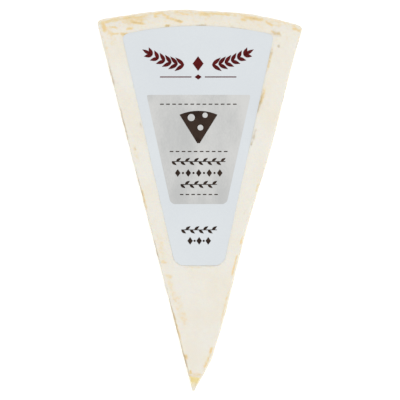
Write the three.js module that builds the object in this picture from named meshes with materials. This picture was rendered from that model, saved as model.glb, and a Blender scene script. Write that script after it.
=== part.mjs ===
// A wedge of soft-ripened cheese, cut from a round wheel, with a paper label on its top rind.
//
// Millimetres, +Z up. The wedge lies on its bottom rind, with the wheel's rim towards +Y and its own point
// towards -Y. The origin is on the bottom rind, under the middle of the wedge's box.

import * as THREE from "three";

// The wheel that the wedge was cut from
const WHEEL_RADIUS = 171;
const WHEEL_HEIGHT = 30;
const WHEEL_CENTRE_X = -4.2;
const SHOULDER_RADIUS = 5; // rounding of the rim's top and bottom edges
const RIM_BARREL = 0.9; // how far the rim's side swells between its shoulders
const RIM_WAVE = 0.18; // how far the rim's side wanders in and out along the arc
const RIM_WAVE_LENGTH = 35;
const RIM_WAVE_SLANT = 2; // turn of the wave's phase from the bottom rind to the top, in radians
const RIM_REACH = 30; // over which the rim's shape dies away towards the point
const RIND_THICKNESS = 1.4;

// The two knife cuts, whose lines cross a little off the wheel's centre
const WEDGE_LENGTH = 160; // from the point to the crown of the rim
const CUTS_CROSS = new THREE.Vector2(-0.95, -89.2);
const LEFT_CUT_DEG = 14.5; // from +Y
const RIGHT_CUT_DEG = 15.45;
const RIGHT_WANDER = 0.4; // how far the right cut strays to each side of a straight line
const WANDER_LENGTH = 74;
const WANDER_CREST = 119; // where it strays furthest out, from the wheel's centre
const CUT_EDGE_RADIUS = 0.9; // where a cut meets the top or bottom rind
const UPRIGHT_CORNER_RADIUS = 2.4; // where a cut meets the rim
const LEFT_BULGE_AT_POINT = 0.4; // how far the soft paste swells out of a cut at half height
const RIGHT_BULGE_AT_POINT = 0.9;
const BULGE_AT_RIM = 0.5;
const BULGE_LIMIT = 0.2; // as a share of the half width, where the point is too narrow for more

// The point, where the right cut turns in and the top rind has broken off
const TURN_IN_START = 14; // before the point, along Y
const TURN_IN_SLOPE = 0.22;
const NOSE_LENGTH = 6.5; // bare paste that slopes down to the point
const NOSE_DROP = 13;
const NOSE_CURVE = 1.4; // power of the slope: 1 is straight, and more is steeper at the point
const BREAK_WIDTH = 1.2; // over which the broken edge of the rind steps down

// Low swells of the top rind, and its sag towards the soft middle of the wheel
const SWELL_HEIGHT = 0.35;
const SWELL_LENGTHS = [71, 43]; // waves across and along the wedge
const SWELL_PHASES = [0.7, -0.4]; // radians at the origin
const POINT_SAG = 0.9;
const SAG_REACH = 85; // from the point

// Three low spots of the otherwise level bottom rind, on which the wedge rests
const REST_SPOTS = [
  [-37, 62],
  [36, 62],
  [-2.4, -72],
];
const REST_SPOT_DEPTH = 0.2;
const REST_SPOT_REACH = 20;

// The paper label: a cut-off sector, narrower than the wedge, that follows the swells of the rind
const LABEL_THICKNESS = 0.3;
const LABEL_GAP = 0.15; // between label and rind
const LABEL_X = -0.3; // of its middle line, beside the origin
const LABEL_LEAN_DEG = 0.35; // how far its middle line turns to the left of +Y
const LABEL_FRONT = -27.3; // Y of its end towards the point
const LABEL_BACK = 72.95; // Y of its end towards the rim
const LABEL_FRONT_HALF_WIDTH = 10.1;
const LABEL_TAPER_DEG = 12.67;
const LABEL_FRONT_CURVE = 200; // radii of the two rounded ends
const LABEL_BACK_CURVE = 143;
const LABEL_FRONT_CORNER = 3.2;
const LABEL_BACK_CORNER = 2.4;

// Facets: along the wedge, across it and up it
const CHEESE_STEPS = [46, 18, 12];
const LABEL_STEPS = [30, 18, 1];
const CROWDING = 0.62; // how much closer together the facets are at the edges

// Colours and finishes
const RIND_FINISH = { color: 0xeee9dc, roughness: 0.85, metalness: 0 };
const PAPER_FINISH = { color: 0xdde2e5, roughness: 0.55, metalness: 0 };

// Worked out from the dimensions above
const POINT_RADIUS = WHEEL_RADIUS - WEDGE_LENGTH;
const WHEEL_CENTRE = new THREE.Vector2(WHEEL_CENTRE_X, WEDGE_LENGTH / 2 - WHEEL_RADIUS);

const { clamp, degToRad, lerp, smoothstep } = THREE.MathUtils;

// A share from 0 to 1, moved towards the nearer end so that steps are closer together at both ends.
function crowded(share) {
  return share - (CROWDING * Math.sin(2 * Math.PI * share)) / (2 * Math.PI);
}

// Rounds the corner of a square. The two distances run outwards from the centre of the corner's arc, and the
// square's outline becomes the arc of that radius.
function roundedCorner(first, second) {
  if (first <= 0 || second <= 0) return [first, second];
  const pull = Math.max(first, second) / Math.hypot(first, second);
  return [first * pull, second * pull];
}

// The angle, clockwise from +Y about the wheel's centre, at which a knife cut crosses a circle about it.
function cutAngle(radius, cutDeg) {
  const way = new THREE.Vector2(Math.sin(degToRad(cutDeg)), Math.cos(degToRad(cutDeg)));
  const offset = CUTS_CROSS.clone().sub(WHEEL_CENTRE);
  const along = offset.dot(way);
  const run = Math.sqrt(along * along - offset.lengthSq() + radius * radius) - along;
  const crossing = offset.addScaledVector(way, run);
  return Math.atan2(crossing.x, crossing.y);
}

// The middle angle and half width of the wedge on a circle about the wheel's centre. The right cut wanders,
// and near the point it turns in.
function rowAt(radius) {
  const left = cutAngle(radius, -LEFT_CUT_DEG);
  const wander = RIGHT_WANDER * Math.cos((2 * Math.PI * (radius - WANDER_CREST)) / WANDER_LENGTH);
  const turnIn = TURN_IN_SLOPE * Math.max(0, TURN_IN_START - (radius - POINT_RADIUS));
  const right = cutAngle(radius, RIGHT_CUT_DEG) + (wander - turnIn) / radius;
  return { middle: (left + right) / 2, halfWidth: (radius * (right - left)) / 2 };
}

// The height of the top rind: the wheel's height with low swells, less its sag and its slope at the point.
function topHeight(x, y) {
  const fromPoint = Math.max(0, Math.hypot(x - WHEEL_CENTRE.x, y - WHEEL_CENTRE.y) - POINT_RADIUS);
  const acrossTurn = (2 * Math.PI * x) / SWELL_LENGTHS[0] + SWELL_PHASES[0];
  const alongTurn = (2 * Math.PI * y) / SWELL_LENGTHS[1] + SWELL_PHASES[1];
  const swell = SWELL_HEIGHT * Math.sin(acrossTurn) * Math.cos(alongTurn);
  const sag = POINT_SAG * (1 - smoothstep(fromPoint, 0, SAG_REACH));
  const slope = NOSE_DROP * Math.pow(clamp(1 - fromPoint / NOSE_LENGTH, 0, 1), NOSE_CURVE);
  const broken = RIND_THICKNESS * (1 - smoothstep(fromPoint, NOSE_LENGTH, NOSE_LENGTH + BREAK_WIDTH));
  return WHEEL_HEIGHT + swell - sag - slope - broken;
}

// The height of the bottom rind, which falls evenly to nothing at each spot that it rests on.
function bottomHeight(x, y) {
  const distances = REST_SPOTS.map(([spotX, spotY]) => Math.hypot(x - spotX, y - spotY));
  return REST_SPOT_DEPTH * Math.min(1, Math.min(...distances) / REST_SPOT_REACH);
}

// How far the rim's side stands back from the wheel's full radius, at an angle and a share of the height.
function rimSetback(angle, share) {
  const barrel = RIM_BARREL * Math.pow(2 * share - 1, 2);
  const waveTurn = (2 * Math.PI * WHEEL_RADIUS * angle) / RIM_WAVE_LENGTH + RIM_WAVE_SLANT * share;
  return barrel - RIM_WAVE * Math.cos(waveTurn);
}

// A box of facets, each of whose points is put in place by a function of its three shares: along and up run
// from 0 to 1, and across from -1 to 1. Points that faces share get the very same shares, so the solid stays
// closed.
function mappedBox([alongSteps, acrossSteps, upSteps], place) {
  const geometry = new THREE.BoxGeometry(1, 1, 1, acrossSteps, alongSteps, upSteps);
  const points = geometry.getAttribute("position");
  const share = (value, steps) => Math.round((value + 0.5) * steps) / steps;
  for (let i = 0; i < points.count; i++) {
    const across = 2 * crowded(share(points.getX(i), acrossSteps)) - 1;
    const along = share(points.getY(i), alongSteps);
    const up = share(points.getZ(i), upSteps);
    points.setXYZ(i, ...place(along, across, up));
  }
  geometry.deleteAttribute("uv");
  geometry.computeVertexNormals();
  return geometry;
}

// A point of the wedge. A row of the box becomes an arc about the wheel's centre from one cut to the other,
// its corners are rounded, the paste bulges between the rinds, and the height follows the top rind.
function wedgePoint(along, across, up) {
  let radius = lerp(POINT_RADIUS, WHEEL_RADIUS, crowded(along));
  const halfWidth = rowAt(radius).halfWidth;
  let side = Math.abs(across) * halfWidth;
  let height = crowded(up) * WHEEL_HEIGHT;

  const corner = [halfWidth - UPRIGHT_CORNER_RADIUS, WHEEL_RADIUS - UPRIGHT_CORNER_RADIUS];
  const upright = roundedCorner(side - corner[0], radius - corner[1]);
  side = corner[0] + upright[0];
  radius = corner[1] + upright[1];

  const shoulder = WHEEL_RADIUS - SHOULDER_RADIUS;
  const middle = WHEEL_HEIGHT / 2;
  const turned = roundedCorner(radius - shoulder, Math.abs(height - middle) - (middle - SHOULDER_RADIUS));
  radius = shoulder + turned[0];
  height = middle + Math.sign(height - middle) * (middle - SHOULDER_RADIUS + turned[1]);

  const edge = Math.min(CUT_EDGE_RADIUS, halfWidth / 2);
  const cut = roundedCorner(side - (halfWidth - edge), Math.abs(height - middle) - (middle - edge));
  side = halfWidth - edge + cut[0];
  height = middle + Math.sign(height - middle) * (middle - edge + cut[1]);

  const share = height / WHEEL_HEIGHT;
  const fromPoint = (radius - POINT_RADIUS) / WEDGE_LENGTH;
  const bulgeAtPoint = across < 0 ? LEFT_BULGE_AT_POINT : RIGHT_BULGE_AT_POINT;
  const bulge = Math.min(lerp(bulgeAtPoint, BULGE_AT_RIM, fromPoint), BULGE_LIMIT * halfWidth);
  side *= 1 - (bulge * Math.pow(2 * share - 1, 2)) / halfWidth;

  const angle = rowAt(radius).middle + (Math.sign(across) * side) / radius;
  radius -= rimSetback(angle, share) * smoothstep(radius, WHEEL_RADIUS - RIM_REACH, WHEEL_RADIUS);
  const x = WHEEL_CENTRE.x + radius * Math.sin(angle);
  const y = WHEEL_CENTRE.y + radius * Math.cos(angle);
  return [x, y, lerp(bottomHeight(x, y), topHeight(x, y), share)];
}

// A point of the label: a tapered strip with rounded ends and corners, laid on the top rind.
function labelPoint(along, across, up) {
  const taper = Math.tan(degToRad(LABEL_TAPER_DEG));
  const lean = Math.tan(degToRad(LABEL_LEAN_DEG));
  const halfWidthAt = (y) => LABEL_FRONT_HALF_WIDTH + taper * (y - LABEL_FRONT);
  const endRise = (radius, x) => radius - Math.sqrt(radius * radius - x * x);

  let y = lerp(LABEL_FRONT, LABEL_BACK, crowded(along));
  const halfWidth = halfWidthAt(y);
  const atBack = along > 0.5;
  const corner = atBack ? LABEL_BACK_CORNER : LABEL_FRONT_CORNER;
  const fromEnd = atBack ? LABEL_BACK - y : y - LABEL_FRONT;
  const rounded = roundedCorner(Math.abs(across) * halfWidth - halfWidth + corner, corner - fromEnd);
  let side = halfWidth - corner + rounded[0];
  y = atBack ? LABEL_BACK - corner + rounded[1] : LABEL_FRONT + corner - rounded[1];

  const curved = lerp(endRise(LABEL_FRONT_CURVE, side), -endRise(LABEL_BACK_CURVE, side), along);
  side *= halfWidthAt(y + curved) / halfWidthAt(y);
  y += curved;
  const x = LABEL_X - lean * y + Math.sign(across) * side;
  return [x, y, topHeight(x, y) + LABEL_GAP + up * LABEL_THICKNESS];
}

function namedMesh(name, geometry, finish) {
  const mesh = new THREE.Mesh(geometry, new THREE.MeshStandardMaterial(finish));
  mesh.name = name;
  return mesh;
}

const wedge = new THREE.Group();
wedge.name = "cheese_wedge";
wedge.add(namedMesh("cheese", mappedBox(CHEESE_STEPS, wedgePoint), RIND_FINISH));
wedge.add(namedMesh("label", mappedBox(LABEL_STEPS, labelPoint), PAPER_FINISH));

export default wedge;
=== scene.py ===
"""Dresses a wedge of white-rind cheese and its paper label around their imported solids.

Lengths are in metres, in the solids' own frame: +Z is up, and the wedge lies on its bottom rind with its
point towards -Y, the wheel's rim towards +Y and the label on its top rind.
"""

import math
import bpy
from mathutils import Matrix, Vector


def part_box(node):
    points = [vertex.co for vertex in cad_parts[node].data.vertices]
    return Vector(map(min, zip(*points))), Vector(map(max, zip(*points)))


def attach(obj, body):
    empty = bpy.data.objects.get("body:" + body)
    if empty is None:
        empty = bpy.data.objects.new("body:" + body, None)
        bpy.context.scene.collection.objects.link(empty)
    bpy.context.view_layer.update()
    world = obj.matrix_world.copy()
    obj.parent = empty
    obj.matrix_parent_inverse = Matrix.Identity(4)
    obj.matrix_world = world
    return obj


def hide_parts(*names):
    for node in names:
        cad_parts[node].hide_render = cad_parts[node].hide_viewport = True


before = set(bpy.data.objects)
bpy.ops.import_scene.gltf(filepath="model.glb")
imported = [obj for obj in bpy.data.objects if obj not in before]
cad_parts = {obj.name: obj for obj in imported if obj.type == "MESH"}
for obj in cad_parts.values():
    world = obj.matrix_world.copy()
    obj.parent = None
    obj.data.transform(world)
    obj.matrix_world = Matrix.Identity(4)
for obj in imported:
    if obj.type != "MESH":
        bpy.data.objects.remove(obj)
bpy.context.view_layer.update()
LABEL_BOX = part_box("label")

from types import SimpleNamespace

import bpy
import numpy as np
from bpy.props import FloatProperty, FloatVectorProperty, PointerProperty

bl_info = {
    "name": "Cheese wedge",
    "version": (1, 0, 0),
    "blender": (4, 5, 0),
    "location": "View3D > Sidebar > Cheese",
    "description": "Makes a wedge of white-rind cheese, its printed label and a studio around it",
    "category": "Add Mesh",
}

MM = 0.001
TURN = 2 * math.pi
TINY = 1e-12
WHITE = (1, 1, 1)
SHARP_ANGLE = math.radians(50)

# Random relief: how many waves it sums, and their lengths as shares of the mean one
RIPPLE_WAVES = 26
RIPPLE_LENGTHS = (0.7, 1.4)

# The wheel and its rim, beyond the sizes that the sidebar offers
WHEEL_CENTRE_X = -4.2 * MM
RIM_BARREL = 0.9 * MM
RIM_WAVE = 0.18 * MM
RIM_WAVE_LENGTH = 35 * MM
RIM_WAVE_SLANT = 2.0
RIM_REACH = 30 * MM

# The two knife cuts
CUTS_CROSS = np.array((-0.95 * MM, -89.2 * MM))
RIGHT_WANDER = 0.4 * MM
WANDER_LENGTH = 74 * MM
WANDER_CREST = 119 * MM
CUT_EDGE_RADIUS = 0.9 * MM
UPRIGHT_CORNER_RADIUS = 2.4 * MM
BULGE_LIMIT = 0.2

# The point, where the right cut turns in and the rind has broken off
TURN_IN_START = 14 * MM
TURN_IN_SLOPE = 0.22
NOSE_LENGTH = 6.5 * MM
NOSE_DROP = 13 * MM
NOSE_CURVE = 1.4
BREAK_WIDTH = 1.2 * MM
BREAK_EDGE = (5.3 * MM, 6.7 * MM)
BREAK_SHARES = (0.55, 0.8)
BLOOMED_TIP = (0.4 * MM, 2.6 * MM)
RIPE_BREAK = (2.0 * MM, 4.0 * MM)
RIPE_SHARES = (0.85, 0.97)

# Swells of the top rind, its sag towards the point, and the spots that the bottom rind rests on
SWELL_HEIGHT = 0.35 * MM
SWELL_LENGTHS = (71 * MM, 43 * MM)
SWELL_PHASES = (0.7, -0.4)
POINT_SAG = 0.9 * MM
SAG_REACH = 85 * MM
REST_SPOTS = ((-37 * MM, 62 * MM), (36 * MM, 62 * MM), (-2.4 * MM, -72 * MM))
REST_SPOT_DEPTH = 0.2 * MM
REST_SPOT_REACH = 20 * MM

# Grid steps across, along and up the wedge, and how much closer together they are at the edges
WEDGE_STEPS = (104, 224, 58)
CROWDING = 0.4

# Shares of the height over which a point comes to count as near the top, and as on the top or its very edge
TOP_SHARES = (0.72, 0.92)
EDGE_SHARES = (0.965, 0.99)

# How steeply a streak, chip or mark fades towards its edge
SPOT_FALL = 0.7

# Rubbed streaks: along the rim from the left corner to the right one, and then inside them.
# Each streak here and below: middle x and y, length and width in millimetres, turn in degrees, strength
RIM_STREAKS = (
    (-40.2, 72.9, 5.8, 2.4, -76, 0.88),
    (-39.2, 64.5, 14.0, 2.0, -75.5, 0.5),
    (-37.6, 71.0, 7.0, 3.4, -70, 0.6),
    (-37.2, 67.8, 9.0, 5.5, -60, 0.46),
    (-37.0, 75.7, 9.5, 0.9, 11, 0.85),
    (-36.5, 75.2, 12.0, 2.0, 12, 0.72),
    (-29.8, 76.5, 6.0, 2.2, 10, 0.9),
    (-27.3, 75.4, 11.0, 4.2, 8, 0.74),
    (-25.5, 76.7, 5.5, 1.5, 9, 0.85),
    (-18.5, 77.0, 2.0, 1.3, -10, 0.9),
    (-17.0, 78.2, 5.0, 1.2, 7, 0.8),
    (-6.0, 78.0, 4.0, 1.3, 0, 0.75),
    (2.5, 78.1, 6.0, 2.5, -7, 0.9),
    (7.0, 78.2, 13.0, 1.4, -4, 0.85),
    (11.8, 77.8, 2.6, 1.6, -4, 0.9),
    (18.5, 75.7, 2.0, 1.3, -10, 0.95),
    (22.5, 76.15, 10.5, 1.9, -8, 0.9),
    (29.2, 74.0, 3.8, 1.4, -28, 0.88),
    (32.5, 73.2, 3.0, 1.3, -20, 0.55),
    (41.0, 71.4, 5.0, 1.9, -18, 0.85),
    (-35.5, 72.4, 3.5, 0.9, -10, 0.85),
    (-35.2, 69.7, 4.0, 1.0, 0, 0.9),
    (-31.6, 69.5, 4.2, 1.4, -10, 1.0),
    (-29.3, 71.8, 3.6, 1.2, 5, 0.95),
    (-26.0, 74.3, 7.0, 1.2, -8, 1.1),
    (-14.3, 77.3, 3.5, 1.4, -25, 0.85),
    (-13.5, 73.2, 1.5, 1.1, 0, 1.15),
    (-11.0, 75.7, 8.0, 1.1, -15, 0.95),
    (-8.7, 75.0, 3.4, 1.2, -13, 1.2),
    (31.0, 70.2, 4.0, 1.1, -30, 0.75),
    (33.0, 69.8, 2.0, 1.7, 0, 0.7),
)

# Streaks and thin places beside the label and along the two cuts. Those along the label's right edge and
# under its front end are partly painted shadow of the paper's edge, in tan
SIDE_STREAKS_AND_PAINTED_SHADOWS = (
    (29.4, 59.0, 11.0, 1.3, 77, 0.72),
    (26.3, 43.2, 8.4, 1.5, 74, 0.82),
    (-1.0, -28.0, 14.0, 0.8, 0, 0.6),
    (-26.6, 19.5, 10.0, 3.5, -75, 0.46),
    (-23.3, 0.7, 11.0, 1.1, -75.5, 0.72),
    (-16.3, -19.0, 13.0, 4.0, -75, 0.5),
    (-15.0, -25.8, 3.4, 1.8, -15, 0.66),
    (-12.8, -31.8, 3.5, 2.0, 0, 0.66),
    (-11.8, -37.0, 12.0, 3.8, -75, 0.5),
    (-8.2, -45.6, 17.0, 4.4, -70, 0.5),
    (-9.4, -53.3, 16.0, 1.0, -74.5, 0.75),
    (24.0, 5.2, 4.0, 0.9, 75, 0.75),
    (17.6, -16.8, 4.0, 1.1, 75, 0.82),
    (15.4, -24.2, 2.5, 1.2, 75, 0.82),
    (14.4, -28.2, 7.6, 1.4, 75, 0.78),
    (10.4, -45.0, 18.0, 1.4, 75, 0.6),
    (7.1, -59.0, 5.0, 1.0, 70, 0.76),
    (3.9, -66.0, 11.0, 2.6, 65, 0.58),
)

# Chips out of the rind near the point
RIND_CHIPS = (
    (4.8, -63.0, 3.2, 1.9, 66, 0.86),
    (3.8, -66.4, 2.8, 1.9, 64, 0.84),
    (2.7, -69.2, 3.2, 1.7, 62, 0.78),
    (-5.8, -65.7, 2.4, 1.5, -75, 0.9),
    (-3.8, -72.0, 2.2, 1.3, -75, 0.95),
)

# Painted shade along the left cut's edge, where that cut face turns from the light, dried marks away from it,
# and painted shadow at places by the label's edges
PAINTED_SHADE_AND_DRIED_STREAKS = (
    (-37.2, 52.0, 8.5, 1.3, -75.5, 0.9),
    (-32.0, 31.5, 13.5, 1.3, -75.5, 1.0),
    (-25.2, 5.0, 14.0, 1.3, -75.5, 0.95),
    (-18.5, -21.0, 10.0, 1.3, -75.5, 0.9),
    (-11.0, -50.0, 22.0, 1.3, -75.5, 0.95),
    (-7.2, -64.0, 18.0, 1.2, -74, 0.9),
    (-13.5, 73.0, 2.0, 1.0, 0, 0.6),
    (-27.0, 21.5, 2.0, 1.0, -80, 0.44),
    (18.9, -4.9, 2.5, 1.3, 75, 0.45),
    (33.0, 64.5, 1.3, 0.9, 90, 0.65),
    (1.0, 73.3, 4.0, 0.6, 0, 0.7),
    (16.0, 71.8, 8.0, 0.8, -7, 0.5),
    (32.0, 69.8, 5.0, 3.0, -20, 0.42),
    (29.7, 60.8, 8.5, 1.3, 77, 0.4),
    (25.4, 40.8, 8.5, 1.0, 74, 0.62),
    (22.9, 27.6, 6.0, 1.1, 77, 0.5),
    (21.7, 23.5, 2.0, 0.8, 77, 0.62),
    (-24.6, 31.5, 2.5, 0.8, -77, 0.52),
)

# How tan the rind is without streaks: on the rim's side, top and edge, each with the share of random patches
# in it, the patches' sizes and shares, and then near the rim, by the cuts and by the break
RIM_SIDE_TAN = (0.38, 0.17)
RIM_TOP_TAN = (0.44, 0.12)
RIM_TAN_REACH = (3.8 * MM, 0.9 * MM)
RIM_EDGE_TAN = (0.53, 0.04)
RIM_EDGE_REACH = (1.8 * MM, 0.6 * MM)
RIM_PATCHES = ((9 * MM, 1), (3.6 * MM, 0.6))
RIM_PATCH_STRETCH = 1.8
NEAR_RIM_TAN = 0.36
NEAR_RIM_REACH = (20 * MM, 4 * MM)
NEAR_CUT_TAN = 0.24
NEAR_CUT_REACH = (0.5 * MM, 5 * MM)
NEAR_BREAK_TAN = 0.5
NEAR_BREAK_REACH = (10 * MM, 7.4 * MM)

# Fine relief: lumps of the bloom, with sizes and shares, drag lines of the knife, lumps of the paste, crumbs
# of the break, depths in rind thicknesses over which rind gives way to paste, and steps down from the rind
BLOOM_LUMPS = ((9 * MM, 1), (3.2 * MM, 0.7))
DRAG_HEIGHT = 0.035 * MM
DRAG_LENGTH = 2.7 * MM
DRAG_SLANT = 0.12
DRAG_WANDER = 1.5
DRAG_WANDER_LENGTH = 30 * MM
PASTE_LUMP_HEIGHT = 0.07 * MM
PASTE_LUMP_SIZE = 7 * MM
CRUMB_HEIGHT = 0.22 * MM
CRUMB_SIZE = 2.2 * MM
PASTE_DEPTHS = (0.85, 1.25)
CUT_STEP = 0.2 * MM
BREAK_STEP = 0.35 * MM
RUB_DEPTH = 0.08 * MM

# Rind that the knife has dragged down the top of each cut: its mean and swing in rind thicknesses, the length
# of its waves, how far apart the two cuts are in the random pattern, and shares of the height where it ends
DRAGGED_RIND = (0.6, 0.45)
DRAGGED_LENGTH = 7 * MM
DRAGGED_APART = 30 * MM
DRAGGED_SHARES = (0.82, 0.9)

# Eyes in the paste of each cut: places as shares of the wedge's length and height, radii, the power that
# makes large ones rare, stretch along the wedge, depth as a share of the radius, and how ripe the deepest are
EYES_PER_CUT = 34
EYE_SEED = 40
EYE_PLACES = (0.08, 0.96)
EYE_HEIGHTS = (0.14, 0.86)
EYE_RADII = (0.5 * MM, 1.9 * MM)
EYE_RARITY = 2.5
EYE_STRETCH = 1.7
EYE_DEPTH = 0.6
RIPEST_EYE = 0.5

# The label, beyond the sizes that the sidebar offers. Its curves and corners are radii at its front and back,
# and the rind's lumps fade out under it between two distances inside its edge
LABEL_X = -0.3 * MM
LABEL_LEAN = math.radians(0.35)
LABEL_CURVES = (200 * MM, 143 * MM)
LABEL_CORNERS = (3.2 * MM, 2.4 * MM)
LABEL_STEPS = (72, 116, 1)
LABEL_FADE = (-1.5 * MM, 0.5 * MM)
PAPER_WAVE = 0.04 * MM
PAPER_WAVE_LENGTH = 38 * MM
FRONT_CURL = 0.3 * MM
FRONT_CURL_REACH = 3 * MM

# Places where the label's right edge has come loose: y, reach along the edge, and height
LOOSE_EDGES = (
    (57 * MM, 5 * MM, 0.25 * MM),
    (41 * MM, 6 * MM, 0.5 * MM),
    (27 * MM, 6 * MM, 0.3 * MM),
)
LOOSE_REACH = 2.2 * MM

# Ink: how far it sinks into the paper, and how much higher each layer stands than the one below it
INK_SINK = 0.01 * MM
INK_STEP = 0.03 * MM

# The printed panel, at its front and its back, in millimetres: y, half widths and corner radii
PANEL_ENDS = (-1.6, 44.1)
PANEL_HALF_WIDTHS = (11.7, 21.8)
PANEL_CORNERS = (1.8, 0.9)

# The ornament above it and the figures on it, in millimetres and degrees. Each gem, leaf and slice has two
# half sizes, and a leaf on a sprig starts a little off the stem
SPRIG_Y = 56.6
SPRIG_START = 4.2
SPRIG_LENGTH = 15.8
SPRIG_RISE = 4.6
SPRIG_PAIRS = 6
SPRIG_FIRST_PAIR = 0.7
LEAF_HALF_LENGTHS = (2.5, 1.8)
LEAF_HALF_WIDTH = 0.8
LEAF_OFFSET = 0.9
LEAF_SPREAD = 38
END_LEAF = (2.0, 0.7, 30)
END_LEAF_SHARES = (1.1, 1.2)
SPRIG_GEM = (2.3, 3.1)
SPRIG_GEM_Y = 57.2
RULE_Y = 51.6
RULE_MIDDLE = 9.4
RULE_HALF_LENGTH = 6.6
RULE_HALF_WIDTH = 0.22
RULE_GEM = (1.5, 1.1)
SLICE_Y = 30.6
SLICE_HALF_SIZES = (8.6, 7.2)
SLICE_EYES = ((-3.0, 34.6, 1.5), (2.8, 35.6, 1.1), (0.8, 30.4, 1.2))

# Rows of small print: y, half length and number of figures. A dash takes a share of its step along the row
DASH_ROWS = ((40.2, 16.5, 13), (20.4, 12.6, 10), (2.4, 8.4, 7))
DASH_SHARE = 0.6
GARLAND_ROWS = ((16.2, 11.2, 12), (6.6, 7.6, 8), (-12.4, 7.4, 8))
GARLAND_RULE_HALF_WIDTH = 0.16
GARLAND_LEAF = (1.25, 0.55)
GARLAND_OFFSET = 0.8
GARLAND_LEAN = 35
BEAD_ROWS = ((11.4, 8.8, 5), (-17.0, 3.8, 3))
BEAD_GEM = (1.15, 1.6)
BEAD_DOT = (0.45, 0.45)

# Finishes: octaves of the random noise, the values of it between which a mottle's two colours blend, and
# mottles, each with the size of its clouds, the size of its fine grains and the grains' share
NOISE_DETAIL = 4
MOTTLE_EDGES = (0.34, 0.66)
BLOOM_MOTTLE = (15 * MM, 1.6 * MM, 0.25)
PASTE_MOTTLE = (11 * MM, 2.4 * MM, 0.35)
PAPER_MOTTLE = (30 * MM, 0.8 * MM, 0.3)
INK_GRAINS = (0.6 * MM, 0.2)

# Finishes: ragged masks, each with the level that an amount has to pass, the softness and the raggedness of
# its edge, and the size of the ragged grains
TAN_MASK = (0.58, 0.3, 0.85, 1.5 * MM)
DARK_MASK = (0.95, 0.2, 0.6, 1.2 * MM)
PAINTED_SHADE_AND_DRIED_MASK = (0.5, 0.4, 0.9, 3 * MM)
CUT_MASK = (1.0, 0.22, 0.7, 1.8 * MM)
BREAK_MASK = (0.5, 0.22, 0.6, 1.4 * MM)

# Finishes: shares of the tan tint, of dark tan and of the grey-brown that paints shade and dried rind, and
# how pale the paste is by its depth
TINT_AMOUNTS = (0.2, 1.0)
TINT_SHARE = 0.5
DARK_SHARE = 0.75
PAINTED_SHADE_AND_DRIED_SHARE = 0.85
PALE_DEPTHS = (1.0, 4.5)
PALE_SHARES = (0.55, 0.8)

# Finishes: sizes of the fine grain, and roughness of rind and paste, and of paper and ink from grain to grain
FUZZ_SIZE = 0.7 * MM
VELVET_SIZE = 2.6 * MM
SMEAR_SIZE = 1.8 * MM
PAPER_FIBRE = 0.5 * MM
CHEESE_ROUGHNESS = (0.86, 0.42)
PAPER_ROUGHNESS = (0.46, 0.58)
INK_ROUGHNESS = (0.5, 0.62)

# The stage: half the floor's width, how far the camera sees, the lights, and the height and the middle of the
# view whose full width the picture takes in
FLOOR_REACH = 2.5
FAR_END = 10
KEY_SPOT = (0.12, 0.25, 1.0)
KEY_SIZE = 1.2
FILL_SPOTS = ((-0.6, -0.75, 0.6), (0.6, -0.75, 0.6))
FILL_SIZE = 0.7
VIEW_DEPTH = 20 * MM
VIEW_MIDDLE = (0.15 * MM, 0.1 * MM)


def srgb(red, green, blue):
    """A display colour from 0 to 255 as the linear colour that shaders take."""
    shares = np.array((red, green, blue)) / 255
    return tuple(np.where(shares <= 0.04045, shares / 12.92, ((shares + 0.055) / 1.055) ** 2.4))


def slider(name, description, default, **kind):
    """A number that the sidebar offers."""
    return FloatProperty(name=name, description=description, default=default, **kind)


def place(name, description, default, **limits):
    """A place along an axis that the sidebar offers."""
    return slider(name, description, default, precision=5, subtype="DISTANCE", unit="LENGTH", **limits)


def length(name, description, default):
    """A length that the sidebar offers."""
    return place(name, description, default, min=0)


def angle(name, description, degrees):
    """An angle that the sidebar offers."""
    return slider(name, description, math.radians(degrees), subtype="ANGLE", unit="ROTATION")


def power(name, description, default):
    """A light's power that the sidebar offers."""
    return slider(name, description, default, min=0, subtype="POWER", unit="POWER")


def colour(name, description, default):
    """A colour that the sidebar offers."""
    return FloatVectorProperty(
        name=name, description=description, default=default, min=0, max=1, size=3, subtype="COLOR"
    )


class WedgeSizes(bpy.types.PropertyGroup):
    """Sizes of the wedge and of the wheel that it was cut from."""

    wheel_radius: length("Wheel radius", "Radius of the whole wheel", 171 * MM)
    wheel_height: length("Wheel height", "Height between the two rinds", 30 * MM)
    wedge_length: length("Wedge length", "From the point to the crown of the rim", 160 * MM)
    left_cut: angle("Left cut", "Angle of the left cut from the wedge's length", 14.5)
    right_cut: angle("Right cut", "Angle of the right cut from the wedge's length", 15.45)
    shoulder_radius: length("Shoulder radius", "Rounding of the rim's top and bottom edges", 5 * MM)
    rind_thickness: length("Rind thickness", "Thickness of the white rind", 1.4 * MM)
    left_bulge: length("Left bulge", "Swell of the paste out of the left cut near the point", 0.4 * MM)
    right_bulge: length("Right bulge", "Swell of the paste out of the right cut near the point", 0.9 * MM)
    rim_bulge: length("Bulge at rim", "Swell of the paste out of either cut near the rim", 0.5 * MM)
    bloom_relief: length("Bloom relief", "Height of the lumps in the rind's bloom", 0.09 * MM)


class CheeseColours(bpy.types.PropertyGroup):
    """Colours of the rind and the paste."""

    bloom: colour("Bloom", "White bloom of the rind", srgb(234, 231, 222))
    bloom_warm: colour("Warm bloom", "Cream patches in the bloom", srgb(233, 227, 213))
    tan: colour("Tan", "Rind where the bloom is thin", srgb(234, 210, 160))
    tan_dark: colour("Dark tan", "Rind where the bloom is rubbed off", srgb(206, 182, 142))
    # Painted shade: this grey-brown stands for the shaded left cut edge and the shadows by the label's edges,
    # and also for dried marks
    dried: colour("Dried rind", "Dried edge of the rind along a cut", srgb(184, 165, 132))
    paste: colour("Paste", "Paste in the middle of the cut", srgb(239, 231, 210))
    paste_ripe: colour("Ripe paste", "Riper paste under the rind and in the eyes", srgb(236, 216, 146))


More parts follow.
